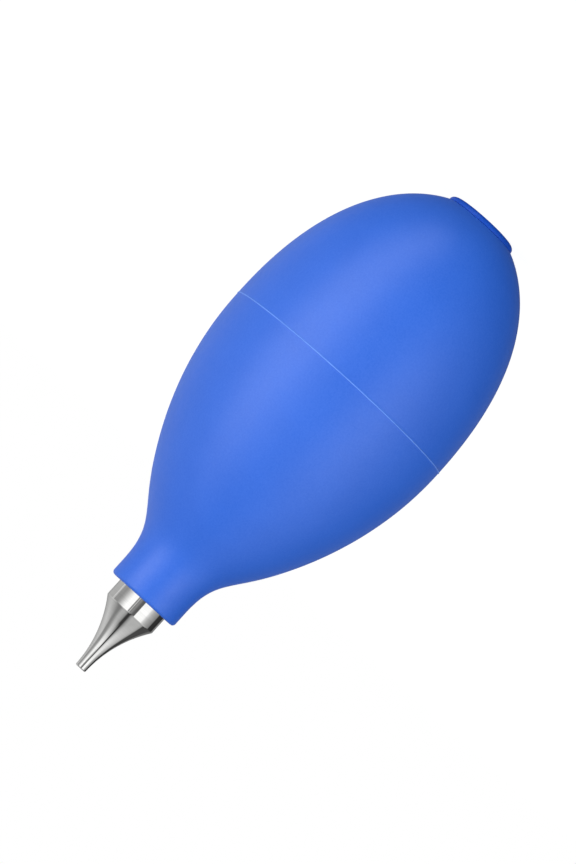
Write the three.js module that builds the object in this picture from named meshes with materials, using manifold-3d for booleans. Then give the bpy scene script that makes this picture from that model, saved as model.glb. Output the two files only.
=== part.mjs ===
// A hand air blower: a hollow silicone bulb with an inlet valve in its back, an outlet valve in its neck
// and a turned metal nozzle. It stands on the flat face of its inlet plug with the nozzle up. Millimetres,
// +Z up, with the origin at the centre of that face. The body of every piece is round about the Z axis.
import * as THREE from "three";
import { mergeVertices } from "three/addons/utils/BufferGeometryUtils.js";
import Module from "manifold-3d";

const wasm = await Module();
wasm.setup();

// Clearances: between a piece and the one that holds it, and between two pieces that slide past each other.
const FIT = 0.05;
const SLIDE = 0.1;

// Sides of the large round pieces, of the small ones, and of a small hole.
const LARGE_SIDES = 40;
const SMALL_SIDES = 32;
const HOLE_SIDES = 8;

// The bulb: its widest place, the cone in front of it, and the raised line left by the joint of its mould.
const GIRTH_R = 28;
const GIRTH_Z = 44.5;
const SHOULDER_R = 17;
const SHOULDER_Z = 83.8;
const SHOULDER_SLOPE = 121.3;
const SHOULDER_INSIDE_SLOPE = 100;
const PARTING_LINE_WIDTH = 0.5;
const PARTING_LINE_HEIGHT = 0.15;
const WALL = 3;

// The neck, and the straight bore that grips the outlet valve and the nozzle.
const NECK_R = 8.52;
const NECK_START_Z = 101.9;
const NECK_END_Z = 105.7;
const NECK_CORNER = 0.8;
const NECK_BORE_R = 6.35;
const NECK_BORE_START_Z = 90.5;

// The flat seat round the hole in the bulb's back.
const BACK_SEAT_R = 8.68;
const BACK_SEAT_Z = 1.4;
const BACK_SLOPE = 25.6;
const BACK_HOLE_R = 6.45;
const BACK_SEAT_INSET = 0.7;

// How far each end of a curved stretch keeps its own direction: the back, the cone and the throat, first
// outside and then inside.
const BACK_REACH = [7.1, 30];
const CONE_REACH = [15.7, 11.1];
const THROAT_REACH = [10, 9];
const BACK_INSIDE_REACH = [6.2, 27];
const CONE_INSIDE_REACH = [15, 12];
const THROAT_INSIDE_REACH = [3, 3];

// The inlet plug: a grommet with a flange outside the bulb, a waist in its wall and a lip inside it. The
// flange is flat where the blower stands on it and curves up to its full radius.
const FLANGE_R = 8.5;
const FLANGE_FACE_R = 7;
const FLANGE_REACH = [0.8, 0.7];
const LIP_R = 8;
const LIP_THICKNESS = 1.6;
const LIP_TAPER = 0.5;
const PLUG_TOP_WIDTH = 1;
const PLUG_TOP_Z = 7.6;
const PLUG_BORE_R = 4.65;
const PLUG_RECESS_R = 5.35;
const PLUG_RECESS_DEPTH = 1.6;

// The inlet valve, from the intake inwards.
const INTAKE_SETBACK = 0.5;
const INTAKE_R = 3.9;
const HOUSING_CHAMFER = 0.3;
const SEAT_WEB_Z = 3.6;
const SEAT_WEB_THICKNESS = 1;
const INLET_HOLE_R = 1.8;
const HOUSING_TOP_Z = 10.9;
const GRILLE_DEPTH = 0.3;
const GRILLE_THICKNESS = 0.5;
const GRILLE_HOLE_R = 0.45;
const FILTER_GAP = 0.2;
const FILTER_THICKNESS = 1.9;
const WASHER_THICKNESS = 0.6;
const DISC_R = 2.9;
const DISC_THICKNESS = 0.8;
const STEM_R = 0.6;
const STEM_CHAMFER = 0.3;
const STEM_TOP_Z = 12.3;
const CAGE_Z = 9.7;
const CAGE_THICKNESS = 1;
const CAGE_HOLE_R = 0.7;
const CAGE_BOSS_WALL = 0.8;
const CAGE_BOSS_HEIGHT = 0.7;
const INLET_SPRING_R = 1.5;
const INLET_SPRING_TURNS = 4;

// The outlet valve body, measured from its lower face, and where that face stands.
const OUTLET_Z = 88;
const OUTLET_BODY_R = 6.1;
const OUTLET_BODY_CHAMFER = 0.6;
const OUTLET_BARB_R = 6.3;
const OUTLET_BARB_LENGTH = 1.6;
const OUTLET_BARBS_Z = [4.6, 7.6, 10.6];
const OUTLET_BODY_LENGTH = 14.1;
const OUTLET_HOLE_R = 1.2;
const OUTLET_WEB_THICKNESS = 1.4;
const BALL_R = 2;
const BALL_CHAMBER_R = 2.45;
const SOCKET_R = 4;
const SOCKET_Z = 7.6;
const SOCKET_CHAMFER = 0.4;
const RETAINER_THICKNESS = 0.8;
const RETAINER_MIDDLE_HOLE_R = 0.6;
const RETAINER_HOLE_R = 0.5;
const OUTLET_SPRING_R = 1.2;
const OUTLET_SPRING_TURNS = 3;
const SPRING_WIRE_R = 0.15;

// The nozzle, measured from the lower face of its collar, and where that face stands.
const NOZZLE_Z = 102.2;
const SPIGOT_LENGTH = 5.6;
const SPIGOT_CHAMFER = 0.4;
const COLLAR_R = 6.15;
const COLLAR_LENGTH = 7.48;
const COLLAR_CHAMFER = 0.08;
const COLLAR_BACK_CHAMFER = 0.3;
const FLARE_LENGTH = 15.12;
const TIP_R = 1.3;
const TIP_ROUND = 0.3;
const JET_R = 0.5;
const JET_LENGTH = 9.5;
const NOZZLE_BORE_R = 2.4;
const NOZZLE_BORE_END_Z = 5.1;
const O_RING_GROOVE_R = 2.85;
const O_RING_GROOVE_Z = -2.2;
const O_RING_SECTION_R = 0.55;
const O_RING_LIFT = 0.02;

const blower = new THREE.Group();

function addPiece(parent, name, geometry, look) {
  const mesh = new THREE.Mesh(geometry, new THREE.MeshStandardMaterial(look));
  mesh.name = name;
  parent.add(mesh);
  return mesh;
}

const BLUE_SILICONE = { color: 0x3f6fd6, roughness: 0.55, metalness: 0 };
const DEEP_BLUE_SILICONE = { color: 0x2452bd, roughness: 0.5, metalness: 0 };
const BLACK_RUBBER = { color: 0x1c1c1e, roughness: 0.7, metalness: 0 };
const POLISHED_STEEL = { color: 0xd4d4d2, roughness: 0.12, metalness: 1 };
const SATIN_STEEL = { color: 0xb9bbbd, roughness: 0.35, metalness: 1 };
const PLATED_BRASS = { color: 0xc9c3b2, roughness: 0.25, metalness: 1 };
const NATURAL_NYLON = { color: 0xe6e3d8, roughness: 0.5, metalness: 0 };
const FILTER_FOAM = { color: 0x6a6d70, roughness: 0.95, metalness: 0 };

// An outline is a list of points (radius, height), counter-clockwise round the solid's section.
const point = (r, z) => new THREE.Vector2(r, z);

// A smooth curve that leaves one point and reaches another at given angles. An angle of 0 points away from
// the axis and 90 points up. The two reaches say how far the curve keeps to each angle.
function smooth(from, fromAngle, to, toAngle, [fromReach, toReach], steps) {
  const along = (degrees, reach) => {
    const radians = THREE.MathUtils.degToRad(degrees);
    return point(Math.cos(radians), Math.sin(radians)).multiplyScalar(reach);
  };
  const leave = from.clone().add(along(fromAngle, fromReach));
  const arrive = to.clone().sub(along(toAngle, toReach));
  return new THREE.CubicBezierCurve(from, leave, arrive, to).getPoints(steps);
}

// An arc about a centre from one angle to another, in degrees.
function arc(centre, radius, from, to, steps) {
  const start = THREE.MathUtils.degToRad(from);
  const end = THREE.MathUtils.degToRad(to);
  return new THREE.EllipseCurve(centre.x, centre.y, radius, radius, start, end, to < from).getPoints(steps);
}

// Turns an outline about Z. Neighbouring curves share their end points, which are kept once.
function turned(outline, sides) {
  const kept = outline.filter((p, i) => i === 0 || p.distanceTo(outline[i - 1]) > 1e-3);
  const closed = kept[0].x > 0 ? [...kept, kept[0].clone()] : kept;
  return new THREE.LatheGeometry(closed, sides).rotateX(Math.PI / 2);
}

function ring(innerR, outerR, lowZ, highZ, sides) {
  const low = [point(innerR, lowZ), point(outerR, lowZ)];
  const high = [point(outerR, highZ), point(innerR, highZ)];
  return turned([...low, ...high], sides);
}

function disc(radius, lowZ, highZ, sides) {
  return turned([point(0, lowZ), point(radius, lowZ), point(radius, highZ), point(0, highZ)], sides);
}

function toSolid(geometry) {
  const bare = new THREE.BufferGeometry();
  bare.setAttribute("position", geometry.getAttribute("position"));
  bare.setIndex(geometry.index);
  const merged = mergeVertices(bare, 1e-4);
  return new wasm.Manifold(
    new wasm.Mesh({
      numProp: 3,
      vertProperties: merged.attributes.position.array,
      triVerts: new Uint32Array(merged.index.array),
    }),
  );
}

function toGeometry(solid) {
  const mesh = solid.getMesh();
  const geometry = new THREE.BufferGeometry();
  geometry.setAttribute("position", new THREE.BufferAttribute(mesh.vertProperties, 3));
  geometry.setIndex(new THREE.BufferAttribute(mesh.triVerts, 1));
  return geometry;
}

// Cuts a ring of equal holes through a flat piece. A ring of radius 0 is one hole at the centre.
function perforate(geometry, lowZ, highZ, rings) {
  let solid = toSolid(geometry);
  for (const { count, ringR, holeR } of rings) {
    for (let i = 0; i < count; i += 1) {
      const angle = (2 * Math.PI * i) / count;
      const drill = disc(holeR, lowZ - 1, highZ + 1, HOLE_SIDES);
      drill.translate(ringR * Math.cos(angle), ringR * Math.sin(angle), 0);
      solid = solid.subtract(toSolid(drill));
    }
  }
  return toGeometry(solid);
}

class Helix extends THREE.Curve {
  constructor(radius, lowZ, highZ, turns) {
    super();
    Object.assign(this, { radius, lowZ, highZ, turns });
  }

  getPoint(t, target = new THREE.Vector3()) {
    const angle = 2 * Math.PI * this.turns * t;
    const z = THREE.MathUtils.lerp(this.lowZ, this.highZ, t);
    return target.set(this.radius * Math.cos(angle), this.radius * Math.sin(angle), z);
  }
}

function coilSpring(radius, lowZ, highZ, turns) {
  const wire = new THREE.Shape().absarc(0, 0, SPRING_WIRE_R, 0, 2 * Math.PI);
  return new THREE.ExtrudeGeometry(wire, {
    extrudePath: new Helix(radius, lowZ + SPRING_WIRE_R, highZ - SPRING_WIRE_R, turns),
    steps: turns * 12,
    curveSegments: 3,
  });
}

// The bulb is one moulding. It is drawn as two solids that meet flat at the shoulder: the body, which
// shortens when it is squeezed, and the neck, which keeps its shape round the outlet valve and moves with it.
const wallAcross = WALL / Math.cos(THREE.MathUtils.degToRad(SHOULDER_SLOPE - 90));
const shoulder = point(SHOULDER_R, SHOULDER_Z);
const shoulderInside = point(SHOULDER_R - wallAcross, SHOULDER_Z);

function bulbBodyOutline() {
  const girth = point(GIRTH_R, GIRTH_Z);
  const lineStart = point(GIRTH_R, GIRTH_Z + PARTING_LINE_WIDTH);
  const lineEnd = point(GIRTH_R, GIRTH_Z + 2 * PARTING_LINE_WIDTH);
  const outside = [
    ...smooth(point(BACK_SEAT_R, BACK_SEAT_Z), BACK_SLOPE, girth, 90, BACK_REACH, 10),
    lineStart,
    point(GIRTH_R + PARTING_LINE_HEIGHT, lineStart.y + PARTING_LINE_WIDTH / 3),
    point(GIRTH_R + PARTING_LINE_HEIGHT, lineEnd.y - PARTING_LINE_WIDTH / 3),
    ...smooth(lineEnd, 90, shoulder, SHOULDER_SLOPE, CONE_REACH, 6),
  ];

  const holeTop = point(BACK_HOLE_R, BACK_SEAT_Z + WALL);
  const seatInside = point(BACK_SEAT_R - BACK_SEAT_INSET, holeTop.y);
  const girthInside = point(GIRTH_R - WALL, GIRTH_Z);
  const inside = [
    holeTop,
    ...smooth(seatInside, BACK_SLOPE, girthInside, 90, BACK_INSIDE_REACH, 6),
    ...smooth(girthInside, 90, shoulderInside, SHOULDER_SLOPE, CONE_INSIDE_REACH, 4),
  ];
  return [...outside, ...inside.reverse(), point(BACK_HOLE_R, BACK_SEAT_Z)];
}

function bulbNeckOutline() {
  const corner = point(NECK_R - NECK_CORNER, NECK_END_Z - NECK_CORNER);
  const boreStart = point(NECK_BORE_R, NECK_BORE_START_Z);
  const throat = [SHOULDER_INSIDE_SLOPE, THROAT_INSIDE_REACH, 3];
  return [
    ...smooth(shoulder, SHOULDER_SLOPE, point(NECK_R, NECK_START_Z), 90, THROAT_REACH, 6),
    ...arc(corner, NECK_CORNER, 0, 90, 3),
    point(NECK_BORE_R, NECK_END_Z),
    ...smooth(shoulderInside, SHOULDER_SLOPE, boreStart, ...throat).reverse(),
  ];
}

function plugOutline() {
  const flangeTop = BACK_SEAT_Z - FIT;
  const waistR = BACK_HOLE_R - FIT;
  const lipZ = BACK_SEAT_Z + WALL + FIT;
  return [
    point(PLUG_RECESS_R, 0),
    ...smooth(point(FLANGE_FACE_R, 0), 0, point(FLANGE_R, flangeTop), 90, FLANGE_REACH, 5),
    point(waistR, flangeTop),
    point(waistR, lipZ),
    point(LIP_R, lipZ),
    point(LIP_R - LIP_TAPER, lipZ + LIP_THICKNESS),
    point(PLUG_BORE_R + PLUG_TOP_WIDTH, PLUG_TOP_Z),
    point(PLUG_BORE_R, PLUG_TOP_Z),
    point(PLUG_BORE_R, PLUG_RECESS_DEPTH),
    point(PLUG_RECESS_R, PLUG_RECESS_DEPTH),
  ];
}

// A tube with an outer flange, an inner web that carries the valve seat, and a shallow recess for the grille.
function housingOutline() {
  const tubeR = PLUG_BORE_R - FIT;
  const flangeR = PLUG_RECESS_R - FIT;
  const flangeTop = PLUG_RECESS_DEPTH - FIT;
  const webTop = SEAT_WEB_Z + SEAT_WEB_THICKNESS;
  return [
    point(INTAKE_R, INTAKE_SETBACK),
    point(flangeR - HOUSING_CHAMFER, INTAKE_SETBACK),
    point(flangeR, INTAKE_SETBACK + HOUSING_CHAMFER),
    point(flangeR, flangeTop),
    point(tubeR, flangeTop),
    point(tubeR, HOUSING_TOP_Z - HOUSING_CHAMFER),
    point(tubeR - HOUSING_CHAMFER, HOUSING_TOP_Z),
    point(INTAKE_R, HOUSING_TOP_Z),
    point(INTAKE_R, webTop),
    point(INLET_HOLE_R, webTop),
    point(INLET_HOLE_R, SEAT_WEB_Z),
    point(INTAKE_R, SEAT_WEB_Z),
  ];
}

function addInletValve(parent) {
  addPiece(parent, "inlet_plug", turned(plugOutline(), LARGE_SIDES), DEEP_BLUE_SILICONE);
  addPiece(parent, "inlet_housing", turned(housingOutline(), SMALL_SIDES), PLATED_BRASS);

  const heldR = INTAKE_R - FIT;
  const grilleLow = INTAKE_SETBACK + GRILLE_DEPTH;
  const grilleTop = grilleLow + GRILLE_THICKNESS;
  const grille = perforate(disc(heldR, grilleLow, grilleTop, SMALL_SIDES), grilleLow, grilleTop, [
    { count: 1, ringR: 0, holeR: GRILLE_HOLE_R },
    { count: 6, ringR: 1.4, holeR: GRILLE_HOLE_R },
    { count: 12, ringR: 2.8, holeR: GRILLE_HOLE_R },
  ]);
  addPiece(parent, "intake_grille", grille, SATIN_STEEL);

  const filterLow = grilleTop + FILTER_GAP;
  const filter = disc(heldR, filterLow, filterLow + FILTER_THICKNESS, SMALL_SIDES);
  addPiece(parent, "dust_filter", filter, FILTER_FOAM);

  const washerLow = SEAT_WEB_Z + SEAT_WEB_THICKNESS + FIT;
  const washerTop = washerLow + WASHER_THICKNESS;
  const washer = ring(INLET_HOLE_R + SLIDE, heldR, washerLow, washerTop, SMALL_SIDES);
  addPiece(parent, "inlet_seat_washer", washer, BLACK_RUBBER);

  const discLow = washerTop + FIT;
  const discTop = discLow + DISC_THICKNESS;
  const valve = turned(
    [
      point(0, discLow),
      point(DISC_R, discLow),
      point(DISC_R, discTop),
      point(STEM_R + STEM_CHAMFER, discTop),
      point(STEM_R, discTop + STEM_CHAMFER),
      point(STEM_R, STEM_TOP_Z - STEM_CHAMFER),
      point(STEM_R - STEM_CHAMFER, STEM_TOP_Z),
      point(0, STEM_TOP_Z),
    ],
    SMALL_SIDES,
  );
  addPiece(parent, "inlet_valve_disc", valve, NATURAL_NYLON);

  const spring = coilSpring(INLET_SPRING_R, discTop + FIT, CAGE_Z - FIT, INLET_SPRING_TURNS);
  addPiece(parent, "inlet_spring", spring, SATIN_STEEL);

  const cageTop = CAGE_Z + CAGE_THICKNESS;
  const guideR = STEM_R + SLIDE;
  const cageBlank = turned(
    [
      point(guideR, CAGE_Z),
      point(heldR, CAGE_Z),
      point(heldR, cageTop),
      point(guideR + CAGE_BOSS_WALL, cageTop),
      point(guideR + CAGE_BOSS_WALL / 2, cageTop + CAGE_BOSS_HEIGHT),
      point(guideR, cageTop + CAGE_BOSS_HEIGHT),
    ],
    SMALL_SIDES,
  );
  const cage = perforate(cageBlank, CAGE_Z, cageTop, [{ count: 6, ringR: 2.6, holeR: CAGE_HOLE_R }]);
  addPiece(parent, "inlet_cage", cage, NATURAL_NYLON);
}

// A sleeve pushed into the neck, with a conical ball seat below and a socket for the nozzle above. Its barbs
// widen towards the mouth of the neck and end in a step, so that pressure in the bulb can't push it out.
function outletBodyOutline() {
  const seatTop = OUTLET_WEB_THICKNESS + BALL_CHAMBER_R - OUTLET_HOLE_R;
  const outline = [
    point(OUTLET_HOLE_R, 0),
    point(OUTLET_BODY_R - OUTLET_BODY_CHAMFER, 0),
    point(OUTLET_BODY_R, OUTLET_BODY_CHAMFER),
  ];
  for (const barbZ of OUTLET_BARBS_Z) {
    const stepZ = barbZ + OUTLET_BARB_LENGTH;
    outline.push(point(OUTLET_BODY_R, barbZ), point(OUTLET_BARB_R, stepZ), point(OUTLET_BODY_R, stepZ));
  }
  outline.push(
    point(OUTLET_BODY_R, OUTLET_BODY_LENGTH),
    point(SOCKET_R + SOCKET_CHAMFER, OUTLET_BODY_LENGTH),
    point(SOCKET_R, OUTLET_BODY_LENGTH - SOCKET_CHAMFER),
    point(SOCKET_R, SOCKET_Z),
    point(BALL_CHAMBER_R, SOCKET_Z),
    point(BALL_CHAMBER_R, seatTop),
    point(OUTLET_HOLE_R, OUTLET_WEB_THICKNESS),
  );
  return outline;
}

// The height of the ball's centre when it rests on the 45 degree seat.
function ballHeight() {
  const touchR = (BALL_R + FIT) * Math.SQRT1_2;
  return OUTLET_WEB_THICKNESS + (touchR - OUTLET_HOLE_R) + touchR;
}

function addOutletValve(parent) {
  const valve = new THREE.Group();
  valve.position.z = OUTLET_Z;
  parent.add(valve);
  addPiece(valve, "outlet_valve_body", turned(outletBodyOutline(), SMALL_SIDES), PLATED_BRASS);

  const ball = addPiece(valve, "outlet_ball", new THREE.SphereGeometry(BALL_R, 20, 12), POLISHED_STEEL);
  ball.position.z = ballHeight();

  const onBall = Math.sqrt((BALL_R + SPRING_WIRE_R + FIT) ** 2 - OUTLET_SPRING_R ** 2);
  const springLow = ballHeight() + onBall - SPRING_WIRE_R;
  const spring = coilSpring(OUTLET_SPRING_R, springLow, SOCKET_Z, OUTLET_SPRING_TURNS);
  addPiece(valve, "outlet_spring", spring, SATIN_STEEL);

  const retainerLow = SOCKET_Z + FIT;
  const retainerTop = retainerLow + RETAINER_THICKNESS;
  const blank = disc(SOCKET_R - FIT, retainerLow, retainerTop, SMALL_SIDES);
  const retainer = perforate(blank, retainerLow, retainerTop, [
    { count: 1, ringR: 0, holeR: RETAINER_MIDDLE_HOLE_R },
    { count: 6, ringR: 2, holeR: RETAINER_HOLE_R },
  ]);
  addPiece(valve, "outlet_spring_retainer", retainer, SATIN_STEEL);
}

// The flare is one arc that ends almost parallel to the axis. Its radius follows from its length and rise.
function nozzleOutline() {
  const flareR = COLLAR_R - COLLAR_CHAMFER;
  const rise = flareR - TIP_R;
  const radius = (FLARE_LENGTH ** 2 + rise ** 2) / (2 * rise);
  const tipZ = COLLAR_LENGTH + FLARE_LENGTH;
  const flareEnd = THREE.MathUtils.radToDeg(Math.asin(FLARE_LENGTH / radius));
  const spigotR = SOCKET_R - SLIDE;
  const grooveLow = O_RING_GROOVE_Z - 2 * O_RING_SECTION_R - 4 * FIT;
  return [
    point(NOZZLE_BORE_R, -SPIGOT_LENGTH),
    point(spigotR - SPIGOT_CHAMFER, -SPIGOT_LENGTH),
    point(spigotR, -SPIGOT_LENGTH + SPIGOT_CHAMFER),
    point(spigotR, grooveLow),
    point(O_RING_GROOVE_R, grooveLow),
    point(O_RING_GROOVE_R, O_RING_GROOVE_Z),
    point(spigotR, O_RING_GROOVE_Z),
    point(spigotR, 0),
    point(COLLAR_R - COLLAR_BACK_CHAMFER, 0),
    point(COLLAR_R, COLLAR_BACK_CHAMFER),
    point(COLLAR_R, COLLAR_LENGTH - 2 * COLLAR_CHAMFER),
    ...arc(point(TIP_R + radius, tipZ), radius, 180 + flareEnd, 181.5, 7),
    ...arc(point(TIP_R - TIP_ROUND, tipZ - TIP_ROUND), TIP_ROUND, 0, 90, 3),
    point(JET_R, tipZ),
    point(JET_R + FIT, tipZ - JET_LENGTH),
    point(NOZZLE_BORE_R, NOZZLE_BORE_END_Z),
  ];
}

function addNozzle(parent) {
  const group = new THREE.Group();
  group.position.z = NOZZLE_Z;
  parent.add(group);
  addPiece(group, "nozzle", turned(nozzleOutline(), LARGE_SIDES), POLISHED_STEEL);

  const ringR = O_RING_GROOVE_R + O_RING_SECTION_R + O_RING_LIFT;
  const ringCentre = point(ringR, O_RING_GROOVE_Z - O_RING_SECTION_R - 2 * FIT);
  const section = arc(ringCentre, O_RING_SECTION_R, 0, 360, 8).slice(0, -1);
  addPiece(group, "nozzle_o_ring", turned(section, SMALL_SIDES), BLACK_RUBBER);
}

addPiece(blower, "bulb_body", turned(bulbBodyOutline(), LARGE_SIDES), BLUE_SILICONE);
addPiece(blower, "bulb_neck", turned(bulbNeckOutline(), LARGE_SIDES), BLUE_SILICONE);
addInletValve(blower);
addOutletValve(blower);
addNozzle(blower);

export default blower;
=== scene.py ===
"""A hand air blower: a blue silicone bulb with a polished metal nozzle, standing on its inlet plug.

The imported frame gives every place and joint. This script gives each piece its fine surface and its finish.
Lengths are metres. Outlines are written in millimetres, as (radius, height) pairs about the Z axis.
"""

import math

import bmesh
import bpy
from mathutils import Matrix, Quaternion, Vector, noise


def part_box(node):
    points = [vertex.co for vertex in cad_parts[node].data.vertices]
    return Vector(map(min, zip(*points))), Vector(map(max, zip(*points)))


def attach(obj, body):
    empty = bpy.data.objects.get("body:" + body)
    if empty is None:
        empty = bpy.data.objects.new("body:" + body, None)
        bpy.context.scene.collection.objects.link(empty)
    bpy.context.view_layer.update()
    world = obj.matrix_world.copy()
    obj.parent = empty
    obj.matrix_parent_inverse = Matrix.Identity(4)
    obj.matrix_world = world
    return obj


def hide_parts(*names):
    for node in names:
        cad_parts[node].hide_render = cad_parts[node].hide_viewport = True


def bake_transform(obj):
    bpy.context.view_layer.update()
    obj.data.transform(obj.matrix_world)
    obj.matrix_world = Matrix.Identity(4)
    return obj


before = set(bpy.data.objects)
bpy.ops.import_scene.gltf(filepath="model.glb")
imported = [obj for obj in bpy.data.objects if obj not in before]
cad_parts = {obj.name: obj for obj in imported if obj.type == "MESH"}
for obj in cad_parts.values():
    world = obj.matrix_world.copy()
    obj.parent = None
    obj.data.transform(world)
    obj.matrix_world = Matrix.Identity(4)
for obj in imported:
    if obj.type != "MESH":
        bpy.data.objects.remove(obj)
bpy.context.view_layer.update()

MM = 0.001

# Sides round the axis, for the pieces that show and for the ones inside.
FINE_SIDES = 192
SMALL_SIDES = 96

# Steps along a rounded edge, and round the rim and each hole of a plate.
EDGE_STEPS = 4
RIM_STEPS = 96
HOLE_STEPS = 32

# Points closer than this are one point, in metres, and a radius under this is on the axis, in millimetres.
MERGE_DISTANCE = 1e-7
ON_AXIS = 1e-6


# ---------------------------------------------------------------- sizes taken from the frame


def low(node):
    """A node's lowest height, in millimetres."""
    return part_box(node)[0][2] / MM


def high(node):
    """A node's highest height, in millimetres."""
    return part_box(node)[1][2] / MM


def outer(node):
    """A node's outer radius, in millimetres."""
    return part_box(node)[1][0] / MM


# ---------------------------------------------------------------- outlines


def smooth(start, start_angle, start_reach, end, end_angle, end_reach, steps):
    """A curve that leaves start and reaches end at given angles: 0 points away from the axis and 90 up."""

    def along(degrees, reach):
        return Vector((math.cos(math.radians(degrees)), math.sin(math.radians(degrees)))) * reach

    a, d = Vector(start), Vector(end)
    b = a + along(start_angle, start_reach)
    c = d - along(end_angle, end_reach)
    points = []
    for i in range(steps + 1):
        t = i / steps
        k = 1 - t
        points.append(tuple(k**3 * a + 3 * k * k * t * b + 3 * k * t * t * c + t**3 * d))
    return points


def arc(centre, size, start, end, steps):
    """Points on a circle, from one angle to another, in degrees."""
    points = []
    for i in range(steps + 1):
        angle = math.radians(start + (end - start) * i / steps)
        points.append((centre[0] + size * math.cos(angle), centre[1] + size * math.sin(angle)))
    return points


def rounded(corners):
    """An outline from corners (radius, height, rounding). A corner without a rounding stays sharp."""
    points = []
    for i, (r, z, *rounding) in enumerate(corners):
        if not rounding:
            points.append((r, z))
            continue
        here = Vector((r, z))
        before = (Vector(corners[i - 1][:2]) - here).normalized()
        after = (Vector(corners[(i + 1) % len(corners)][:2]) - here).normalized()
        half = before.angle(after) / 2
        centre = here + (before + after).normalized() * rounding[0] / math.sin(half)
        first = here + before * rounding[0] / math.tan(half) - centre
        last = here + after * rounding[0] / math.tan(half) - centre
        start = math.degrees(math.atan2(first.y, first.x))
        turn = (math.degrees(math.atan2(last.y, last.x)) - start + 180) % 360 - 180
        points += arc(centre, rounding[0], start, start + turn, EDGE_STEPS)
    return points


# ---------------------------------------------------------------- meshes


def add_object(name, mesh_data):
    made = bpy.data.objects.new(name, mesh_data)
    bpy.context.scene.collection.objects.link(made)
    return made


def from_bmesh(name, shape):
    bmesh.ops.remove_doubles(shape, verts=shape.verts, dist=MERGE_DISTANCE)
    bmesh.ops.recalc_face_normals(shape, faces=shape.faces)
    for face in shape.faces:
        face.smooth = True
    mesh_data = bpy.data.meshes.new(name)
    shape.to_mesh(mesh_data)
    shape.free()
    return mesh_data


def spin(shape, outline, sides):
    """Adds an outline turned about Z. One that starts off the axis is closed on itself."""
    rings = []
    for r, z in outline:
        if r < ON_AXIS:
            rings.append([shape.verts.new((0, 0, z * MM))] * sides)
            continue
        ring = []
        for k in range(sides):
            angle = 2 * math.pi * k / sides
            ring.append(shape.verts.new((r * MM * math.cos(angle), r * MM * math.sin(angle), z * MM)))
        rings.append(ring)
    following = rings[1:] + (rings[:1] if outline[0][0] > ON_AXIS else [])
    for ring, upper in zip(rings, following):
        for k in range(sides):
            j = (k + 1) % sides
            corners = [ring[k], ring[j], upper[j], upper[k]]
            kept = [v for i, v in enumerate(corners) if v is not corners[i - 1]]
            if len(kept) > 2:
                shape.faces.new(kept)


def turned(name, outline, sides=SMALL_SIDES):
    shape = bmesh.new()
    spin(shape, outline, sides)
    made = add_object(name, from_bmesh(name, shape))
    level_normals(made)
    return made


def level_normals(made):
    """Keeps flat faces evenly lit next to small rounded edges."""
    modifier = made.modifiers.new("even_normals", "WEIGHTED_NORMAL")
    modifier.keep_sharp = True


def plate(name, size, bottom, top, holes, edge):
    """A round plate with round holes (x, y, radius) and rounded edges, as a bmesh to build on."""
    outline = bpy.data.curves.new(name, "CURVE")
    outline.dimensions = "2D"
    outline.fill_mode = "BOTH"
    outline.extrude = (top - bottom) / 2 * MM - edge * MM
    outline.bevel_depth = edge * MM
    outline.bevel_resolution = 2
    outline.offset = -edge * MM
    for x, y, r in [(0, 0, size), *holes]:
        steps = RIM_STEPS if r == size else HOLE_STEPS
        spline = outline.splines.new("POLY")
        spline.points.add(steps - 1)
        spline.use_cyclic_u = True
        for k in range(steps):
            angle = 2 * math.pi * k / steps
            spline.points[k].co = ((x + r * math.cos(angle)) * MM, (y + r * math.sin(angle)) * MM, 0, 1)
    holder = add_object(name + "_curve", outline)
    bpy.context.view_layer.update()
    mesh_data = bpy.data.meshes.new_from_object(holder.evaluated_get(bpy.context.evaluated_depsgraph_get()))
    bpy.data.objects.remove(holder)
    shape = bmesh.new()
    shape.from_mesh(mesh_data)
    bpy.data.meshes.remove(mesh_data)
    bmesh.ops.translate(shape, verts=shape.verts, vec=(0, 0, (top + bottom) / 2 * MM))
    return shape


def hole_ring(count, distance, size):
    """Holes evenly spaced on a circle."""
    holes = []
    for k in range(count):
        angle = 2 * math.pi * k / count
        holes.append((distance * math.cos(angle), distance * math.sin(angle), size))
    return holes


# A coil spring: steps to a turn and sides of its wire, the turns closed at each end, and how far the closed
# turns rise, in wire diameters.
TURN_STEPS, WIRE_SIDES = 36, 12
CLOSED_TURNS, CLOSED_RISE = 0.75, 0.8


def coil(name, middle, wire, bottom, top, turns):
    """A compression spring with its end coils closed. Its wire is a swept tube, and its ends are capped."""
    path_steps = int(turns * TURN_STEPS)
    dead = CLOSED_TURNS / turns
    shape = bmesh.new()
    rings = []
    rise = top - bottom - 2 * wire
    closed_rise = 2 * wire * CLOSED_RISE
    for i in range(path_steps + 1):
        t = i / path_steps
        share = min(max((t - dead) / (1 - 2 * dead), 0), 1)
        ends = min(t / dead, 1) + max((t - 1 + dead) / dead, 0)
        z = bottom + wire + (rise - 2 * closed_rise) * share + closed_rise * ends
        angle = 2 * math.pi * turns * t
        centre = Vector((middle * math.cos(angle), middle * math.sin(angle), z)) * MM
        out = Vector((math.cos(angle), math.sin(angle), 0))
        ring = []
        for k in range(WIRE_SIDES):
            turn = 2 * math.pi * k / WIRE_SIDES
            offset = out * math.cos(turn) + Vector((0, 0, math.sin(turn)))
            ring.append(shape.verts.new(centre + offset * wire * MM))
        rings.append(ring)
    for ring, upper in zip(rings, rings[1:]):
        for k in range(WIRE_SIDES):
            j = (k + 1) % WIRE_SIDES
            shape.faces.new((ring[k], ring[j], upper[j], upper[k]))
    shape.faces.new(rings[0])
    shape.faces.new(rings[-1])
    return add_object(name, from_bmesh(name, shape))


# ---------------------------------------------------------------- materials


def new_material(name):
    made = bpy.data.materials.new(name)
    made.use_nodes = True
    return made, made.node_tree, made.node_tree.nodes["Principled BSDF"]


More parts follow.
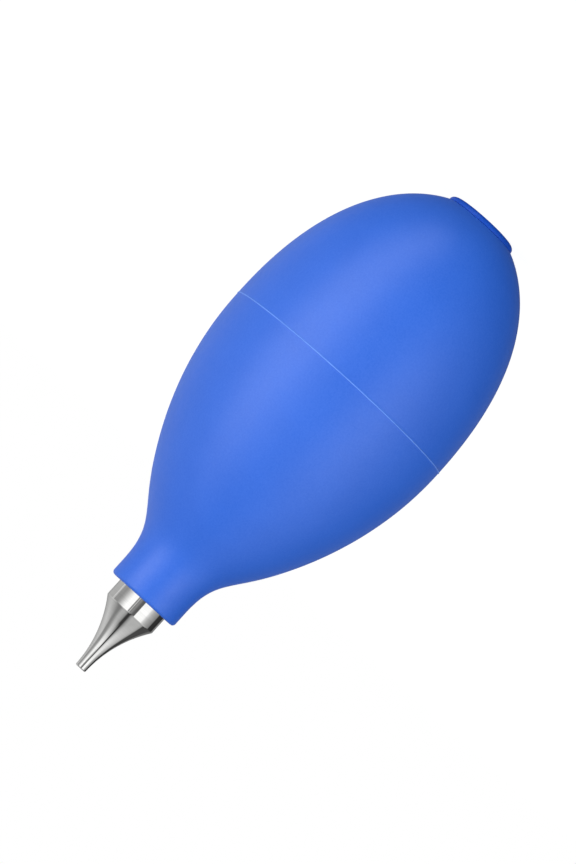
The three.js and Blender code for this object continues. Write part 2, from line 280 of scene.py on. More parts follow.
def add_node(tree, kind, settings=None, **inputs):
    """A shader node. An input is a value, or a socket to link from.

    Underscores in an input's name are spaces, and i0, i1 and so on stand for its place in the node's list.
    """
    made = tree.nodes.new(kind)
    for key, value in (settings or {}).items():
        setattr(made, key, value)
    for key, value in inputs.items():
        numbered = key[0] == "i" and key[1:].isdigit()
        socket = made.inputs[int(key[1:]) if numbered else key.replace("_", " ")]
        if isinstance(value, bpy.types.NodeSocket):
            tree.links.new(value, socket)
        else:
            socket.default_value = value
    return made


def rest_place(tree):
    """The piece's own coordinates in metres at rest, which stay with the surface when it bends."""
    return add_node(tree, "ShaderNodeAttribute", {"attribute_name": "rest"}).outputs["Vector"]


def object_place(tree):
    return add_node(tree, "ShaderNodeTexCoord").outputs["Object"]


def field(tree, place, scale, detail=2.0, roughness=0.5):
    """A noise pattern with so many cells to the metre."""
    return add_node(
        tree, "ShaderNodeTexNoise", Vector=place, Scale=scale, Detail=detail, Roughness=roughness
    ).outputs["Fac"]


def spread(tree, value, to_low, to_high, from_low=0.3, from_high=0.7):
    """Maps a pattern onto a range."""
    return add_node(
        tree, "ShaderNodeMapRange",
        Value=value, From_Min=from_low, From_Max=from_high, To_Min=to_low, To_Max=to_high,
    ).outputs["Result"]


def mix_colour(tree, factor, a, b):
    made = add_node(tree, "ShaderNodeMix", {"data_type": "RGBA"})
    for index, value in ((0, factor), (6, a), (7, b)):
        if isinstance(value, bpy.types.NodeSocket):
            tree.links.new(value, made.inputs[index])
        else:
            made.inputs[index].default_value = value
    return made.outputs[2]


def bump(tree, shader, height, depth, strength=1.0):
    """Raises the surface by a pattern, depth metres high."""
    made = add_node(tree, "ShaderNodeBump", Height=height, Distance=depth, Strength=strength)
    tree.links.new(made.outputs["Normal"], shader.inputs["Normal"])


def silicone(name, colour, dark_colour, grain_and_line_highlight_colour, place, shine):
    """Moulded silicone: a fine matt grain, faint mottling, and a paler line where the mesh marks one, partly
    lighter rubber and partly a painted highlight on the raised ridge.
    """
    made, tree, shader = new_material(name)
    where = place(tree)
    mottle = field(tree, where, 90, 3)
    grain = field(tree, where, 2600, 3, 0.6)
    base = mix_colour(tree, spread(tree, mottle, 0, 1), colour, dark_colour)
    base = mix_colour(tree, spread(tree, grain, 0, 0.10), base, grain_and_line_highlight_colour)
    # The line's paler colour is partly lighter rubber and partly a painted highlight where the raised ridge
    # catches the light.
    line_tint_and_highlight = add_node(tree, "ShaderNodeAttribute", {"attribute_name": "parting_tint_and_highlight"}).outputs["Fac"]
    base = mix_colour(tree, line_tint_and_highlight, base, grain_and_line_highlight_colour)
    tree.links.new(base, shader.inputs["Base Color"])
    tree.links.new(spread(tree, field(tree, where, 700, 2), 0.40, 0.47), shader.inputs["Roughness"])
    bump(tree, shader, grain, 0.000012, 0.6)
    shader.inputs["Specular IOR Level"].default_value = shine
    return made


# The marks that a lathe leaves, in cells to the metre across the axis and along it.
FINE_MARKS = (60, 60, 16000)
BROAD_MARKS = (20, 20, 3200)


def lathe_marks(tree, place, density, detail):
    """Noise stretched into rings round the axis."""
    stretched = add_node(tree, "ShaderNodeVectorMath", {"operation": "MULTIPLY"}, i0=place, i1=density)
    return field(tree, stretched.outputs["Vector"], 1, detail)


def turned_metal(name, colour, tint, polish, marks):
    """Metal off a lathe: fine marks that run round the axis, faint smudges and a slight change of tint."""
    made, tree, shader = new_material(name)
    where = object_place(tree)
    smudge = field(tree, where, 260, 3)
    base = mix_colour(tree, spread(tree, smudge, 0, 1), colour, tint)
    broad = lathe_marks(tree, where, BROAD_MARKS, 1)
    base = mix_colour(tree, spread(tree, broad, 0, 0.14), base, (0.3, 0.3, 0.3, 1))
    tree.links.new(base, shader.inputs["Base Color"])
    tree.links.new(spread(tree, smudge, polish, polish * 1.7), shader.inputs["Roughness"])
    shader.inputs["Metallic"].default_value = 1
    bump(tree, shader, lathe_marks(tree, where, FINE_MARKS, 2), marks)
    return made


def wire_metal(name, colour, place=object_place):
    """Drawn wire or rolled sheet: fine random scratches and slightly uneven polish."""
    made, tree, shader = new_material(name)
    where = place(tree)
    scratch = field(tree, where, 9000, 2)
    tone = spread(tree, field(tree, where, 900), 0, 1)
    darker = [c * 0.8 for c in colour[:3]] + [1]
    tree.links.new(mix_colour(tree, tone, colour, darker), shader.inputs["Base Color"])
    tree.links.new(spread(tree, scratch, 0.22, 0.34), shader.inputs["Roughness"])
    shader.inputs["Metallic"].default_value = 1
    bump(tree, shader, scratch, 0.000001)
    return made


def moulded_plastic(name, colour, shade, roughness):
    """Moulded plastic or rubber: uneven gloss, faint flow marks and a fine skin texture."""
    made, tree, shader = new_material(name)
    where = object_place(tree)
    flow = field(tree, where, 400, 4)
    skin = field(tree, where, 9000, 3)
    tree.links.new(mix_colour(tree, spread(tree, flow, 0, 1), colour, shade), shader.inputs["Base Color"])
    tree.links.new(spread(tree, flow, roughness, roughness + 0.12), shader.inputs["Roughness"])
    bump(tree, shader, skin, 0.000004)
    return made


def open_foam(name):
    """Open-cell filter foam: pale cell walls, with the open cells between them darkened as painted shade."""
    made, tree, shader = new_material(name)
    cells = add_node(
        tree, "ShaderNodeTexVoronoi", {"feature": "DISTANCE_TO_EDGE"}, Vector=object_place(tree), Scale=2600
    ).outputs["Distance"]
    painted_cell_shade = spread(tree, cells, 0, 1, 0.02, 0.2)
    # The dark colour in the cells is painted shade in the open pores.
    base = mix_colour(tree, painted_cell_shade, (0.16, 0.17, 0.18, 1), (0.02, 0.022, 0.025, 1))
    tree.links.new(base, shader.inputs["Base Color"])
    shader.inputs["Roughness"].default_value = 0.95
    bump(tree, shader, cells, -0.0002)
    return made


# ---------------------------------------------------------------- the bulb


# The bulb, in millimetres and degrees. Its outside is the frame's own bulb's: its widest place, the cone in
# front of it, the neck, and the seat round the hole in its back. The wall inside is close to the frame's.
GIRTH_R, GIRTH_Z = 28.0, 44.5
SHOULDER_R, SHOULDER_Z, SHOULDER_SLOPE = 17.0, 83.8, 121.3
NECK_R, NECK_START_Z = 8.52, 101.9
BORE_R, BORE_START_Z = 6.35, 90.5
MOUTH_OUTER_ROUND, MOUTH_INNER_ROUND = 0.8, 0.25
BACK_SEAT_R, BACK_SLOPE, BACK_HOLE_R = 8.68, 25.6, 6.45
WALL = 3.0
BACK_SEAT_INSET = 0.7
THROAT_INSIDE_SLOPE = 100

# How far each end of a curved stretch keeps its own direction: the back, the cone and the throat, outside and
# then inside.
BACK_REACH, CONE_REACH, THROAT_REACH = (7.1, 30), (15.7, 11.1), (10, 9)
BACK_INSIDE_REACH, CONE_INSIDE_REACH, THROAT_INSIDE_REACH = (6.2, 27), (15, 10.5), (4, 3)

# The parting line: its middle, its width and height each side of that, its steps, and where the cone starts
# after it.
PARTING_Z = 45.25
PARTING_HALF_WIDTH = 0.16
PARTING_HEIGHT = 0.12
PARTING_STEPS = 5
CONE_START = 0.25

# How strongly the line's paler colour shows (partly lighter rubber, partly a painted highlight on the ridge),
# how much that varies, and the variation's cells to the metre.
PARTING_STRENGTH, PARTING_VARIATION, PARTING_PATCHES = 0.85, 0.2, 350

# The casting's unevenness: patterns of so many cells to the metre, each so many millimetres high. The back
# below a height, which seals against the plug, and the neck stay smooth.
UNEVENNESS = ((45, 0.03), (160, 0.006))
SMOOTH_BACK_Z = 9.0
SMOOTH_NECK_MARGIN = 0.4


def parting_line():
    """The raised line that the mould left: a small rounded ridge."""
    points = []
    for k in range(-PARTING_STEPS, PARTING_STEPS + 1):
        share = k / PARTING_STEPS
        lift = PARTING_HEIGHT * math.cos(share * math.pi / 2) ** 2
        points.append((GIRTH_R + lift, PARTING_Z + share * PARTING_HALF_WIDTH))
    return points


def curve(start, start_angle, end, end_angle, reach, steps):
    """A smooth stretch of the bulb, whose two ends keep their direction for the two reaches."""
    return smooth(start, start_angle, reach[0], end, end_angle, reach[1], steps)


def bulb_outline():
    back_z, end_z = low("bulb_body"), high("bulb_neck")
    girth, shoulder = (GIRTH_R, GIRTH_Z), (SHOULDER_R, SHOULDER_Z)
    outside = (
        curve((BACK_SEAT_R, back_z), BACK_SLOPE, girth, 90, BACK_REACH, 72)
        + parting_line()
        + curve((GIRTH_R, PARTING_Z + CONE_START), 90, shoulder, SHOULDER_SLOPE, CONE_REACH, 48)
        + curve(shoulder, SHOULDER_SLOPE, (NECK_R, NECK_START_Z), 90, THROAT_REACH, 36)
    )
    mouth = rounded([
        (NECK_R, NECK_START_Z), (NECK_R, end_z, MOUTH_OUTER_ROUND), (BORE_R, end_z, MOUTH_INNER_ROUND),
        (BORE_R, BORE_START_Z),
    ])
    slope = math.radians(SHOULDER_SLOPE - 90)
    inner_shoulder = (SHOULDER_R - WALL * math.cos(slope), SHOULDER_Z - WALL * math.sin(slope))
    inner_girth = (GIRTH_R - WALL, GIRTH_Z)
    inner_back = (BACK_SEAT_R - BACK_SEAT_INSET, back_z + WALL)
    bore = (BORE_R, BORE_START_Z)
    inside = (
        curve(inner_back, BACK_SLOPE, inner_girth, 90, BACK_INSIDE_REACH, 28)
        + curve(inner_girth, 90, inner_shoulder, SHOULDER_SLOPE, CONE_INSIDE_REACH, 16)
        + curve(inner_shoulder, SHOULDER_SLOPE, bore, THROAT_INSIDE_SLOPE, THROAT_INSIDE_REACH, 12)
    )
    back = [(BACK_HOLE_R, back_z + WALL), (BACK_HOLE_R, back_z)]
    return outside + mouth[1:-1] + inside[::-1] + back


def mark_rest(mesh_data):
    """Stores where each point is at rest, for materials on pieces that bend."""
    places = mesh_data.attributes.new("rest", "FLOAT_VECTOR", "POINT")
    for vertex in mesh_data.vertices:
        places.data[vertex.index].vector = vertex.co


def mark_parting_tint_and_highlight(mesh_data):
    """Marks the raised line for its paler colour, partly lighter rubber and partly a painted highlight, a
    little uneven in strength along its length.
    """
    marks = mesh_data.attributes.new("parting_tint_and_highlight", "FLOAT", "POINT")
    for vertex in mesh_data.vertices:
        away = abs(vertex.co.z / MM - PARTING_Z) / PARTING_HALF_WIDTH
        outside = vertex.co.xy.length / MM > GIRTH_R - WALL / 2
        strength = PARTING_STRENGTH + PARTING_VARIATION * noise.noise(vertex.co * PARTING_PATCHES)
        marks.data[vertex.index].value = max(0, min(1, 2 * (1 - away))) * strength if outside else 0


def uneven(mesh_data):
    """Gives the moulded outside the slight unevenness of a soft casting."""
    normals = [normal.vector.copy() for normal in mesh_data.vertex_normals]
    for vertex, normal in zip(mesh_data.vertices, normals):
        off_neck = vertex.co.xy.length / MM > NECK_R + SMOOTH_NECK_MARGIN
        if off_neck and vertex.co.z / MM > SMOOTH_BACK_Z:
            push = sum(noise.noise(vertex.co * cells) * height for cells, height in UNEVENNESS)
            vertex.co += normal * push * MM


def make_bulb():
    shape = bmesh.new()
    spin(shape, bulb_outline(), FINE_SIDES)
    made = add_object("silicone_bulb", from_bmesh("silicone_bulb", shape))
    uneven(made.data)
    mark_rest(made.data)
    mark_parting_tint_and_highlight(made.data)
    # The line colour is partly lighter rubber and partly a painted highlight on the parting ridge. The grain
    # is flecked with it too.
    colour, dark_colour, grain_and_line_highlight_colour = (0.024, 0.136, 0.70, 1), (0.021, 0.127, 0.67, 1), (0.17, 0.37, 1, 1)
    finish = silicone("bulb_silicone_look", colour, dark_colour, grain_and_line_highlight_colour, rest_place, 0.5)
    made.data.materials.append(finish)
    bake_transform(made)
    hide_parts("bulb_body", "bulb_neck")
    return made


# ---------------------------------------------------------------- the other pieces


def place_piece(made, body, node, finish):
    made.data.materials.append(finish)
    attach(made, body)
    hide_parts(node)


def perforated(name, node, bottom, top, holes, edge):
    """A plate as wide as a node, made into an object."""
    made = add_object(name, from_bmesh(name, plate(name + "_plate", outer(node), bottom, top, holes, edge)))
    level_normals(made)
    return made


# Clearance between a piece and the one that holds it, in millimetres.
FIT = 0.05

# The plug: the flat part of its face, which the blower stands on, how the flange curves up from it, its waist
# in the bulb's wall, its lip inside, its top, its bore and the recess round the intake.
FLANGE_FACE_R, FLANGE_CURVE, FLANGE_EDGE = 7.0, (0.8, 0.6), 0.25
WAIST_R = 6.4
LIP_R, LIP_END_R, LIP_THICKNESS = 8, 7.5, 1.6
PLUG_TOP_R, PLUG_BORE_R = 5.65, 4.65
RECESS_R, RECESS_DEPTH = 5.35, 1.6

# The inlet tube: its bore, its chamfers, where its wide end stops, its barrel, the web that carries the
# washer, and the hole in the web.
TUBE_BORE_R, TUBE_CHAMFER, TUBE_STEP_Z, TUBE_R = 3.9, 0.3, 1.55, 4.6
WEB_LOW_Z, WEB_HIGH_Z, WEB_HOLE_R = 3.6, 4.6, 1.8

# The washer's hole, rim and raised seat, and how far the rest lies below the seat.
WASHER_HOLE_R, WASHER_R, WASHER_SEAT_R, WASHER_STEP_R, WASHER_STEP = 1.9, 3.85, 2.6, 2.3, 0.06

# The valve disc and its stem.
DISC_R, DISC_THICKNESS, STEM_R = 2.9, 0.8, 0.6

# The cage's plate and the collar that guides the stem.
CAGE_THICKNESS, GUIDE_HOLE_R, GUIDE_R, GUIDE_TOP_R, GUIDE_SIDES = 1, 0.7, 1.45, 1.2, 48

# Holes in the sheet discs and in the cage, and the rounding of their edges.
GRILLE_HOLES = [(0, 0, 0.45), *hole_ring(6, 1.4, 0.45), *hole_ring(12, 2.8, 0.45)]
CAGE_HOLES = [(0, 0, GUIDE_HOLE_R), *hole_ring(6, 2.6, 0.7)]
RETAINER_HOLES = [(0, 0, 0.6), *hole_ring(6, 2, 0.5)]
SHEET_EDGE, CAGE_EDGE = 0.06, 0.08


def plug_outline():
    seat_z, top = low("bulb_body"), high("inlet_plug")
    lip_z = seat_z + WALL + FIT
    flange_r, flange_top = outer("inlet_plug"), seat_z - FIT
    face = curve((FLANGE_FACE_R, 0), 0, (flange_r, flange_top - FLANGE_EDGE), 90, FLANGE_CURVE, 16)
    rest = rounded([
        face[-1], (flange_r, flange_top, 0.12), (WAIST_R, flange_top, 0.1), (WAIST_R, lip_z, 0.1),
        (LIP_R, lip_z, 0.3), (LIP_END_R, lip_z + LIP_THICKNESS, 0.4), (PLUG_TOP_R, top, 0.3),
        (PLUG_BORE_R, top, 0.15), (PLUG_BORE_R, RECESS_DEPTH), (RECESS_R, RECESS_DEPTH), (RECESS_R, 0, 0.2),
        face[0],
    ])
    return face + rest[1:-1]


def tube_outline():
    bottom, top, side = low("inlet_housing"), high("inlet_housing"), outer("inlet_housing")
    return rounded([
        (TUBE_BORE_R, bottom, 0.12), (side - TUBE_CHAMFER, bottom, 0.1), (side, bottom + TUBE_CHAMFER, 0.1),
        (side, TUBE_STEP_Z, 0.1), (TUBE_R, TUBE_STEP_Z), (TUBE_R, top - TUBE_CHAMFER, 0.1),
        (TUBE_R - TUBE_CHAMFER, top, 0.1), (TUBE_BORE_R, top, 0.08), (TUBE_BORE_R, WEB_HIGH_Z),
        (WEB_HOLE_R, WEB_HIGH_Z, 0.15), (WEB_HOLE_R, WEB_LOW_Z, 0.15), (TUBE_BORE_R, WEB_LOW_Z),
    ])


def washer_outline():
    bottom, top = low("inlet_seat_washer"), high("inlet_seat_washer")
    return rounded([
        (WASHER_HOLE_R, bottom, 0.12), (WASHER_R, bottom, 0.12), (WASHER_R, top, 0.12),
        (WASHER_SEAT_R, top, 0.1), (WASHER_STEP_R, top - WASHER_STEP, 0.1),
        (WASHER_HOLE_R, top - WASHER_STEP, 0.12),
    ])


def disc_outline():
    bottom, top = low("inlet_valve_disc"), high("inlet_valve_disc")
    return rounded([
        (0, bottom), (DISC_R, bottom, 0.12), (DISC_R, bottom + DISC_THICKNESS, 0.2),
        (STEM_R, bottom + DISC_THICKNESS, 0.3), (STEM_R, top, 0.3), (0, top),
    ])


def make_cage():
    bottom, top = low("inlet_cage"), high("inlet_cage")
    step = bottom + CAGE_THICKNESS
    shape = plate("cage", outer("inlet_cage"), bottom, step, CAGE_HOLES, CAGE_EDGE)
    guide = rounded([
        (GUIDE_HOLE_R, step), (GUIDE_R, step), (GUIDE_TOP_R, top, 0.1), (GUIDE_HOLE_R, top, 0.08),
    ])
    spin(shape, guide, GUIDE_SIDES)
    made = add_object("spring_cage", from_bmesh("spring_cage", shape))
    level_normals(made)
    return made


def make_inlet(finishes):
    """The plug and the inlet valve in it, from the intake inwards. Returns the plug."""
    grommet = turned("inlet_grommet", plug_outline(), FINE_SIDES)
    place_piece(grommet, "bulb", "inlet_plug", finishes["plug"])
    tube = turned("inlet_tube", tube_outline())
    place_piece(tube, "bulb", "inlet_housing", finishes["brass"])
    bottom, top = low("intake_grille"), high("intake_grille")
    grille = perforated("intake_mesh", "intake_grille", bottom, top, GRILLE_HOLES, SHEET_EDGE)
    place_piece(grille, "bulb", "intake_grille", finishes["sheet"])
    place_piece(make_filter(), "bulb", "dust_filter", finishes["foam"])
    washer = turned("seat_washer", washer_outline())
    place_piece(washer, "bulb", "inlet_seat_washer", finishes["rubber"])
    disc = turned("valve_disc", disc_outline())
    place_piece(disc, "inlet_valve", "inlet_valve_disc", finishes["nylon"])
    place_piece(make_cage(), "bulb", "inlet_cage", finishes["nylon"])
    return grommet


# The filter's rings of points, its edge, and how deep its cells roughen it, with their number to the metre.
FOAM_RINGS, FOAM_EDGE = 24, 0.2
FOAM_DEPTH, FOAM_CELLS = 0.04, 2600


def make_filter():
    """A foam disc whose open cells roughen its surface."""
    bottom, top, side = low("dust_filter"), high("dust_filter"), outer("dust_filter")
    rings = [side * k / FOAM_RINGS for k in range(FOAM_RINGS)]
    outline = [(r, bottom) for r in rings]
    outline += arc((side - FOAM_EDGE, bottom + FOAM_EDGE), FOAM_EDGE, -90, 0, EDGE_STEPS)
    outline += arc((side - FOAM_EDGE, top - FOAM_EDGE), FOAM_EDGE, 0, 90, EDGE_STEPS)
    outline += [(r, top) for r in rings[::-1]]
    shape = bmesh.new()
    spin(shape, outline, SMALL_SIDES)
    mesh_data = from_bmesh("filter_disc", shape)
    normals = [normal.vector.copy() for normal in mesh_data.vertex_normals]
    for vertex, normal in zip(mesh_data.vertices, normals):
        vertex.co -= normal * (FOAM_DEPTH + FOAM_DEPTH * noise.noise(vertex.co * FOAM_CELLS)) * MM
    return add_object("filter_disc", mesh_data)


# The springs: their wire's radius, and the middle radius and turns of each.
WIRE_R = 0.15
INLET_COIL_R, INLET_TURNS = 1.5, 4
OUTLET_COIL_R, OUTLET_TURNS = 1.2, 3


def make_spring(name, node, middle, turns, finish):
    """A spring between its seat at the top and the valve at its bottom."""
    made = coil(name, middle, WIRE_R, low(node), high(node), turns)
    mark_rest(made.data)
    made.data.materials.append(finish)
    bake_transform(made)
    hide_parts(node)


# The outlet sleeve: its side, its barbs, its hole, the ball's conical seat, the ball's bore and the socket.
SLEEVE_R, SLEEVE_CHAMFER = 6.1, 0.6
BARB_STARTS, BARB_LENGTH = (4.6, 7.6, 10.6), 1.6
SLEEVE_HOLE_R, SEAT_START, SEAT_END = 1.2, 1.4, 2.65
BALL_BORE_R = 2.45
SOCKET_R, SOCKET_START, SOCKET_CHAMFER = 4, 7.6, 0.4


def sleeve_outline():
    bottom, top, barb_r = low("outlet_valve_body"), high("outlet_valve_body"), outer("outlet_valve_body")
    corners = [
        (SLEEVE_HOLE_R, bottom, 0.15), (SLEEVE_R - SLEEVE_CHAMFER, bottom, 0.15),
        (SLEEVE_R, bottom + SLEEVE_CHAMFER, 0.15),
    ]
    for start in BARB_STARTS:
        end_z = bottom + start + BARB_LENGTH
        corners += [(SLEEVE_R, bottom + start, 0.3), (barb_r, end_z, 0.05), (SLEEVE_R, end_z, 0.05)]
    corners += [
        (SLEEVE_R, top, 0.15), (SOCKET_R + SOCKET_CHAMFER, top, 0.1), (SOCKET_R, top - SOCKET_CHAMFER, 0.1),
        (SOCKET_R, bottom + SOCKET_START), (BALL_BORE_R, bottom + SOCKET_START, 0.1),
        (BALL_BORE_R, bottom + SEAT_END, 0.1), (SLEEVE_HOLE_R, bottom + SEAT_START, 0.1),
    ]
    return rounded(corners)


def make_outlet(finishes):
    """The outlet valve in the neck."""
    sleeve = turned("outlet_sleeve", sleeve_outline())
    place_piece(sleeve, "neck", "outlet_valve_body", finishes["brass"])
    node = "outlet_spring_retainer"
    retainer = perforated("spring_retainer", node, low(node), high(node), RETAINER_HOLES, SHEET_EDGE)
    place_piece(retainer, "neck", node, finishes["sheet"])
    middle = (low("outlet_ball") + high("outlet_ball")) / 2
    ball_r = (high("outlet_ball") - low("outlet_ball")) / 2
    ball = turned("check_ball", arc((0, middle), ball_r, -90, 90, 48))
    place_piece(ball, "outlet_valve", "outlet_ball", finishes["polish"])


# The nozzle: its spigot, the groove for the O-ring measured back from the collar, the bevel of the collar's
# front edge, the flare and the tip.
SPIGOT_LENGTH, SPIGOT_R, SPIGOT_CHAMFER = 5.6, 3.9, 0.4
GROOVE_R, GROOVE_NEAR, GROOVE_FAR = 2.85, 2.2, 3.5
BEVEL, BEVEL_LENGTH = 0.08, 0.16
FLARE_LENGTH, TIP_R, TIP_ROUND = 15.12, 1.3, 0.3
# Its air way: the wide bore, the cone that narrows it, measured forward from the collar, and the jet.
AIR_BORE_R, CONE_FROM, CONE_TO = 2.4, 5.1, 13.1
JET_START_R, JET_R, JET_EDGE = 0.55, 0.5, 0.15
# How far past its two ends the flare's arc runs, in degrees, to meet the bevel and the tip's edge.
FLARE_START_OVERLAP, FLARE_END_OVERLAP = 0.6, 0.7


def nozzle_outline():
    """The turned nozzle. Its flare is one arc that runs straight along the axis at the tip."""
    bottom, tip_z, collar_r = low("nozzle"), high("nozzle"), outer("nozzle")
    collar_z, flare_r, edge_z = bottom + SPIGOT_LENGTH, collar_r - BEVEL, tip_z - FLARE_LENGTH
    rise = flare_r - TIP_R
    size = (FLARE_LENGTH**2 + rise**2) / (2 * rise)
    flare_angle = math.asin(FLARE_LENGTH / size)
    groove_top, groove_bottom = collar_z - GROOVE_NEAR, collar_z - GROOVE_FAR
    lower = rounded([
        (AIR_BORE_R, bottom, 0.1), (SPIGOT_R - SPIGOT_CHAMFER, bottom, 0.15),
        (SPIGOT_R, bottom + SPIGOT_CHAMFER, 0.15), (SPIGOT_R, groove_bottom, 0.08),
        (GROOVE_R, groove_bottom, 0.12), (GROOVE_R, groove_top, 0.12), (SPIGOT_R, groove_top, 0.08),
        (SPIGOT_R, collar_z, 0.1),
        (collar_r, collar_z, 0.3), (collar_r, edge_z - BEVEL_LENGTH, 0.2), (flare_r, edge_z, 0.2),
        (flare_r - math.sin(flare_angle), edge_z + math.cos(flare_angle)),
    ])[:-1]
    flare_start = 180 + math.degrees(flare_angle) - FLARE_START_OVERLAP
    flare = arc((TIP_R + size, tip_z), size, flare_start, 180 + FLARE_END_OVERLAP, 64)
    tip = arc((TIP_R - TIP_ROUND, tip_z - TIP_ROUND), TIP_ROUND, 0, 90, 8)
    jet = arc((JET_R + JET_EDGE, tip_z - JET_EDGE), JET_EDGE, 90, 180, 4)
    return lower + flare + tip + jet + [(JET_START_R, collar_z + CONE_TO), (AIR_BORE_R, collar_z + CONE_FROM)]


def make_nozzle(finishes):
    nozzle = turned("turned_nozzle", nozzle_outline(), FINE_SIDES)
    place_piece(nozzle, "nozzle", "nozzle", finishes["polish"])
    middle = (low("nozzle_o_ring") + high("nozzle_o_ring")) / 2
    section = (high("nozzle_o_ring") - low("nozzle_o_ring")) / 2
    ring = arc((outer("nozzle_o_ring") - section, middle), section, 0, 337.5, 15)
    seal = turned("spigot_seal", ring)
    place_piece(seal, "nozzle", "nozzle_o_ring", finishes["rubber"])


# ---------------------------------------------------------------- camera, light and floor


# The camera looks at the blower's side from a metre away, turned so that the nozzle points down and left.
CAMERA_TARGET = Vector((0.00089, 0, 0.05978))
CAMERA_DISTANCE = 1.0044
CAMERA_ELEVATION = 2.9
CAMERA_ROLL = -137.87
LONG_SIDE_PIXELS = 864
FOCAL_PIXELS = 4850


def make_camera():
    data = bpy.data.cameras.new("camera")
    data.sensor_width = 36
    data.lens = data.sensor_width * FOCAL_PIXELS / LONG_SIDE_PIXELS
    data.clip_start, data.clip_end = 0.05, 20
    camera = add_object("camera", data)
    elevation = math.radians(CAMERA_ELEVATION)
    back = Vector((0, -math.cos(elevation), math.sin(elevation)))
    camera.location = CAMERA_TARGET + back * CAMERA_DISTANCE
    camera.rotation_mode = "QUATERNION"
    roll = Quaternion((0, 0, 1), math.radians(CAMERA_ROLL))
    camera.rotation_quaternion = (-back).to_track_quat("-Z", "Y") @ roll
    bpy.context.scene.camera = camera


def make_floor():
    """A plain pale floor. Only the camera sees it, so the studio lights the blower from below too."""
    shape = bmesh.new()
    bmesh.ops.create_circle(shape, cap_ends=True, segments=96, radius=3)
    floor = add_object("floor", from_bmesh("floor", shape))
    finish, tree, shader = new_material("pale_floor")
    paper = spread(tree, field(tree, object_place(tree), 30, 2), 0.9, 0.92)
    base = mix_colour(tree, paper, (0.12, 0.12, 0.12, 1), (0.16, 0.16, 0.16, 1))
    tree.links.new(base, shader.inputs["Base Color"])
    shader.inputs["Roughness"].default_value = 0.9
    shader.inputs["Specular IOR Level"].default_value = 0
    shader.inputs["Emission Color"].default_value = (1, 1, 1, 1)
    shader.inputs["Emission Strength"].default_value = 0.97
    floor.data.materials.append(finish)
    floor.visible_diffuse = False
    floor.visible_glossy = False
    floor.visible_shadow = False


# The studio as the metal sees it: rings of (azimuth in degrees, brightness) at three heights. Azimuth 0 is
# behind the camera, and 90 is on the +X side. Each ring holds a soft box on both sides of a dark gap, grey
# walls, and a black card. The level ring also has the bright edges of two reflector cards.
LEVEL_RING = [
    (-180, 0.25), (-143, 0.25), (-141, 0.03), (-105, 0.04), (-102, 0.27), (-87, 0.42), (-74, 0.57),
    (-62, 0.87), (-55, 1.3), (-45, 1.35), (-20, 1.3), (-18.5, 0.13), (-9, 0.15), (0, 0.35), (5, 0.22),
    (6.5, 0.8), (8, 0.8), (9, 0.3), (13, 0.3), (15, 1.35), (33, 1.35), (42, 1.1), (52, 0.79), (63, 0.5),
    (74, 0.36), (95, 0.4), (96, 1.2), (98.5, 0.08), (100, 1.2), (104, 0.56), (138, 0.56), (180, 0.25),
]
UPPER_RING = [
    (-180, 0.45), (-165, 0.4), (-163, 0.08), (-106, 0.08), (-104, 0.3), (-91, 0.6), (-78, 0.7),
    (-66, 0.82), (-45, 1), (-28, 1), (-14, 0.4), (-12, 0.02), (-2, 0.02), (2, 1), (14, 1.15), (36, 1.1),
    (48, 0.6), (55, 0.34), (78, 0.34), (88, 0.72), (118, 0.72), (140, 0.6), (180, 0.45),
]
TOP_RING = [
    (-180, 0.4), (-165, 0.4), (-163, 0.07), (-106, 0.07), (-104, 0.4), (-95, 0.56), (-37, 0.58),
    (-20, 0.35), (-9, 0.05), (7, 0.05), (18, 0.38), (37, 0.55), (52, 0.55), (70, 0.26), (88, 0.25),
    (108, 0.37), (132, 0.55), (180, 0.4),
]
# The heights between which each ring gives way to the next, in degrees, and the falloff towards floor and
# ceiling.
UPPER_RING_FADE = (10, 28)
TOP_RING_FADE = (30, 56)
HEIGHT_FALLOFF = [(-90, 0.02), (-60, 0.06), (-30, 0.3), (-10, 1), (60, 1), (90, 0.8)]
# A ramp's stops hold grey levels up to 1, so the brightness is stored divided by this.
RING_SCALE = 2.0


def make_world():
    """Soft boxes and dark cards round the blower. The camera itself sees only plain white."""
    world = bpy.data.worlds.new("studio")
    bpy.context.scene.world = world
    world.use_nodes = True
    tree = world.node_tree
    direction = add_node(tree, "ShaderNodeTexCoord").outputs["Generated"]
    split = add_node(tree, "ShaderNodeSeparateXYZ", Vector=direction)
    forward = add_node(tree, "ShaderNodeMath", {"operation": "MULTIPLY"}, i0=split.outputs["Y"], i1=-1.0)
    azimuth = add_node(
        tree, "ShaderNodeMath", {"operation": "ARCTAN2"}, i0=split.outputs["X"], i1=forward.outputs["Value"]
    ).outputs["Value"]
    height = add_node(
        tree, "ShaderNodeMath", {"operation": "ARCSINE"}, i0=split.outputs["Z"]
    ).outputs["Value"]
    around = spread(tree, azimuth, 0, 1, -math.pi, math.pi)
    lit = ring_ramp(tree, around, LEVEL_RING)
    for stops, (fade_start, fade_end) in ((UPPER_RING, UPPER_RING_FADE), (TOP_RING, TOP_RING_FADE)):
        share = spread(tree, height, 0, 1, math.radians(fade_start), math.radians(fade_end))
        lit = mix_colour(tree, share, lit, ring_ramp(tree, around, stops))
    upright = spread(tree, height, 0, 1, -math.pi / 2, math.pi / 2)
    falloff = ramp(tree, upright, [((e + 90) / 180, b) for e, b in HEIGHT_FALLOFF])
    faded = add_node(tree, "ShaderNodeVectorMath", {"operation": "MULTIPLY"}, i0=lit, i1=falloff)
    scaled = add_node(
        tree, "ShaderNodeVectorMath", {"operation": "SCALE"}, i0=faded.outputs["Vector"], Scale=RING_SCALE
    )
    seen = add_node(tree, "ShaderNodeLightPath").outputs["Is Camera Ray"]
    shown = mix_colour(tree, seen, scaled.outputs["Vector"], (1, 1, 1, 1))
    tree.links.new(shown, tree.nodes["Background"].inputs["Color"])


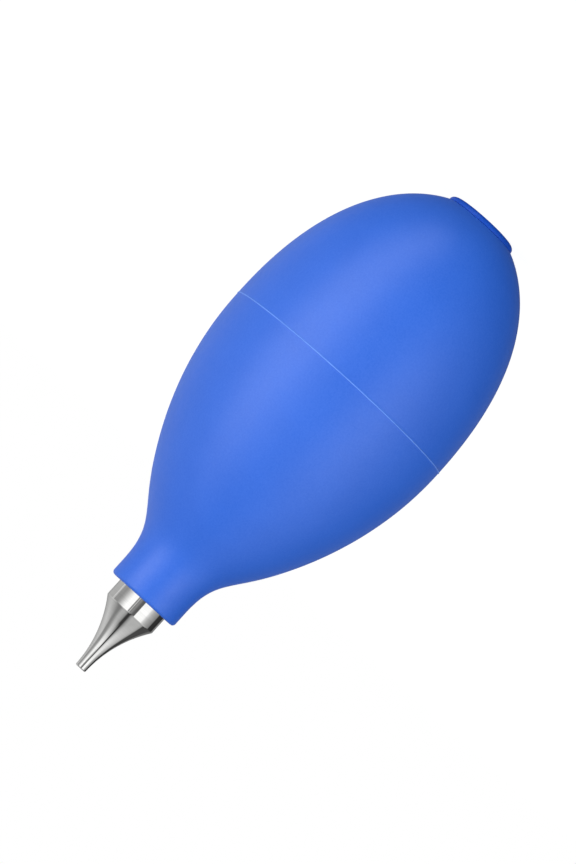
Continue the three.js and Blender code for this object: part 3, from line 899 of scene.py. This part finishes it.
def ring_ramp(tree, around, ring):
    stops = [((azimuth + 180) / 360, brightness / RING_SCALE) for azimuth, brightness in ring]
    return ramp(tree, around, stops)


def ramp(tree, value, stops):
    """A ramp over a value from 0 to 1. Each stop is a place and a grey level."""
    made = add_node(tree, "ShaderNodeValToRGB", Fac=value)
    elements = made.color_ramp.elements
    elements[0].position, elements[1].position = stops[0][0], stops[-1][0]
    for place, _ in stops[1:-1]:
        elements.new(place)
    for element, (_, grey) in zip(elements, stops):
        element.color = (grey, grey, grey, 1)
    return made.outputs["Color"]


# The soft boxes' distance from the blower and their width, in metres.
LIGHT_DISTANCE = 0.9
LIGHT_WIDTH = 0.6


def make_light(name, azimuth, elevation, tall, power, receivers):
    """A soft box that faces the middle of the blower and lights only the pieces in a collection."""
    data = bpy.data.lights.new(name, "AREA")
    data.shape = "RECTANGLE"
    data.size, data.size_y, data.energy = LIGHT_WIDTH, tall, power
    light = add_object(name, data)
    a, e = math.radians(azimuth), math.radians(elevation)
    back = Vector((math.sin(a) * math.cos(e), -math.cos(a) * math.cos(e), math.sin(e)))
    light.location = CAMERA_TARGET + back * LIGHT_DISTANCE
    light.rotation_mode = "QUATERNION"
    light.rotation_quaternion = (-back).to_track_quat("-Z", "Y")
    light.visible_camera = False
    light.light_linking.receiver_collection = receivers
    return light


# ---------------------------------------------------------------- the whole


def make_finishes():
    return {
        "plug": silicone(
            "plug_silicone_look", (0.006, 0.075, 0.52, 1), (0.005, 0.066, 0.48, 1), (0.1, 0.25, 0.8, 1),
            object_place, 0.15,
        ),
        "polish": turned_metal(
            "polished_metal_look", (0.80, 0.80, 0.79, 1), (0.74, 0.74, 0.73, 1), 0.03, 0.0000004
        ),
        "brass": turned_metal(
            "plated_brass_look", (0.70, 0.66, 0.54, 1), (0.62, 0.56, 0.42, 1), 0.2, 0.000001
        ),
        "sheet": wire_metal("satin_sheet_look", (0.62, 0.63, 0.64, 1)),
        "wire": wire_metal("spring_wire_look", (0.56, 0.56, 0.57, 1), rest_place),
        "nylon": moulded_plastic("nylon_look", (0.80, 0.77, 0.68, 1), (0.72, 0.69, 0.58, 1), 0.4),
        "rubber": moulded_plastic(
            "black_rubber_look", (0.020, 0.020, 0.022, 1), (0.03, 0.03, 0.032, 1), 0.55
        ),
        "foam": open_foam("filter_foam_look"),
    }


def main():
    make_camera()
    make_world()
    make_floor()
    # The metal mirrors only the studio rings. The soft boxes shape the silicone, which is matt.
    matt_pieces = bpy.data.collections.new("matt_pieces")
    make_light("key_light", 50, -16, 3, 11, matt_pieces)
    make_light("fill_light", -45, 5, 0.8, 2.6, matt_pieces).visible_glossy = False
    make_light("back_light", 175, 15, 0.8, 7, matt_pieces).visible_glossy = False
    bpy.context.scene.view_settings.view_transform = "Standard"
    finishes = make_finishes()
    matt_pieces.objects.link(make_bulb())
    matt_pieces.objects.link(make_inlet(finishes))
    wire = finishes["wire"]
    make_spring("inlet_coil", "inlet_spring", INLET_COIL_R, INLET_TURNS, wire)
    make_outlet(finishes)
    make_spring("outlet_coil", "outlet_spring", OUTLET_COIL_R, OUTLET_TURNS, wire)
    make_nozzle(finishes)


main()
